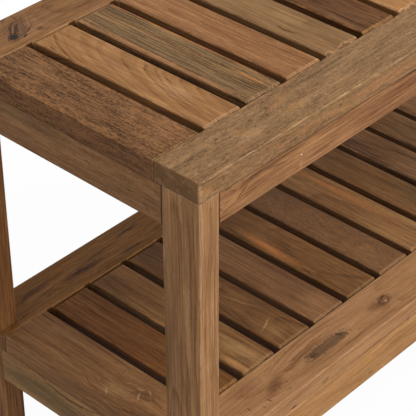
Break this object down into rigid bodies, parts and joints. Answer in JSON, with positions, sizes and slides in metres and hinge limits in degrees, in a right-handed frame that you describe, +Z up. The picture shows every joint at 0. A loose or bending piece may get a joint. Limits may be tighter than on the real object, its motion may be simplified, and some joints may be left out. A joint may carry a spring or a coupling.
{
  "type": "side table",
  "caption": "Slatted teak side table for a bathroom: rectangular legs, a slatted top framed by rails, and a slatted lower shelf notched round the legs.",
  "frame": {"origin": "on the floor, under the middle of the table", "axes": "+X along the length, towards the right end seen from the front; +Y across the depth, from front to back; +Z up"},
  "size_m": [0.72, 0.35, 0.5],
  "materials": {
    "leg_wood": "matte",
    "apron_wood": "matte",
    "rail_wood": "matte",
    "end_board_wood": "matte",
    "slat_wood": "matte",
    "dowel_wood": "matte"
  },
  "bodies": {
    "root": {"leg_back_left": "leg_wood", "leg_back_right": "leg_wood", "leg_front_left": "leg_wood", "leg_front_right": "leg_wood", "shelf_apron_back": "apron_wood", "shelf_apron_front": "apron_wood", "shelf_apron_left": "apron_wood", "shelf_apron_right": "apron_wood", "shelf_dowels": "dowel_wood", "shelf_end_board_left": "end_board_wood", "shelf_end_board_right": "end_board_wood", "shelf_rail_back": "rail_wood", "shelf_rail_front": "rail_wood", "shelf_slat_01": "slat_wood", "shelf_slat_02": "slat_wood", "shelf_slat_03": "slat_wood", "shelf_slat_04": "slat_wood", "shelf_slat_05": "slat_wood", "shelf_slat_06": "slat_wood", "shelf_slat_07": "slat_wood", "shelf_slat_08": "slat_wood", "shelf_slat_09": "slat_wood", "shelf_slat_10": "slat_wood", "top_apron_back": "apron_wood", "top_apron_front": "apron_wood", "top_apron_left": "apron_wood", "top_apron_right": "apron_wood", "top_dowels": "dowel_wood", "top_end_board_left": "end_board_wood", "top_end_board_right": "end_board_wood", "top_rail_back": "rail_wood", "top_rail_front": "rail_wood", "top_slat_01": "slat_wood", "top_slat_02": "slat_wood", "top_slat_03": "slat_wood", "top_slat_04": "slat_wood", "top_slat_05": "slat_wood", "top_slat_06": "slat_wood", "top_slat_07": "slat_wood", "top_slat_08": "slat_wood", "top_slat_09": "slat_wood", "top_slat_10": "slat_wood"}
  },
  "joints": []
}
